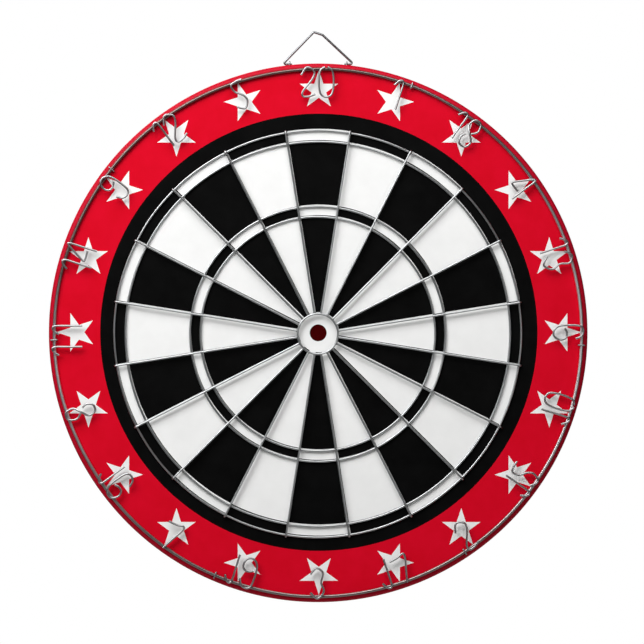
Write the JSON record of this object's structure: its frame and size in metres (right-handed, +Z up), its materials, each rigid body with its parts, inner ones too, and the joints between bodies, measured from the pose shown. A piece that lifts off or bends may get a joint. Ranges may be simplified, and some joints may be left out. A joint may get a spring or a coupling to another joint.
{
  "type": "wire-numbered dartboard",
  "caption": "Round printed wall dartboard: wound paper disc with a welded wire spider, a stapled wire number ring with bent-wire numerals, and a swinging wire hanger.",
  "frame": {"origin": "centre of the back sheet's outer face, which lies flat against the wall, behind the bull", "axes": "+Z up to the hanger, +Y into the wall, so the face looks along -Y; +X to the right of a player facing the board"},
  "size_m": [0.4522, 0.0288, 0.4804],
  "materials": {
    "wound_paper": "matte",
    "dark_red_wood": "matte, dyed dark red",
    "printed_sheet": "matte print in black, white and red",
    "red_edge_tape": "satin",
    "back_board": "matte",
    "spider_wire": "bright drawn wire",
    "number_wire": "bright drawn wire",
    "staple_wire": "drawn wire",
    "hanger_wire": "dull drawn wire"
  },
  "bodies": {
    "board": {"back_sheet": "back_board", "bull_ring": "spider_wire", "centre_plug": "dark_red_wood", "double_ring_inner": "spider_wire", "double_ring_outer": "spider_wire", "edge_band": "red_edge_tape", "hanger_eye_left": "staple_wire", "hanger_eye_right": "staple_wire", "number_ring": "number_wire", "numeral_1": "number_wire", "numeral_10": "number_wire", "numeral_11": "number_wire", "numeral_12": "number_wire", "numeral_13": "number_wire", "numeral_14": "number_wire", "numeral_15": "number_wire", "numeral_16": "number_wire", "numeral_17": "number_wire", "numeral_18": "number_wire", "numeral_19": "number_wire", "numeral_2": "number_wire", "numeral_20": "number_wire", "numeral_3": "number_wire", "numeral_4": "number_wire", "numeral_5": "number_wire", "numeral_6": "number_wire", "numeral_7": "number_wire", "numeral_8": "number_wire", "numeral_9": "number_wire", "printed_face": "printed_sheet", "ring_staple_1": "staple_wire", "ring_staple_2": "staple_wire", "ring_staple_3": "staple_wire", "ring_staple_4": "staple_wire", "ring_staple_5": "staple_wire", "ring_staple_6": "staple_wire", "spoke_10_15": "spider_wire", "spoke_11_14": "spider_wire", "spoke_12_5": "spider_wire", "spoke_13_6": "spider_wire", "spoke_14_9": "spider_wire", "spoke_15_2": "spider_wire", "spoke_16_8": "spider_wire", "spoke_17_3": "spider_wire", "spoke_18_4": "spider_wire", "spoke_19_7": "spider_wire", "spoke_1_18": "spider_wire", "spoke_20_1": "spider_wire", "spoke_2_17": "spider_wire", "spoke_3_19": "spider_wire", "spoke_4_13": "spider_wire", "spoke_5_20": "spider_wire", "spoke_6_10": "spider_wire", "spoke_7_16": "spider_wire", "spoke_8_11": "spider_wire", "spoke_9_12": "spider_wire", "treble_ring_inner": "spider_wire", "treble_ring_outer": "spider_wire", "wound_core": "wound_paper"},
    "hanger": {"hanger_bail": "hanger_wire"}
  },
  "joints": [
    {"name": "hanger_swing", "type": "hinge", "parent": "board", "child": "hanger", "pos_m": [0, -0.007, 0.22633], "axis": [1, 0, 0], "range_deg": [-85, 85]}
  ]
}
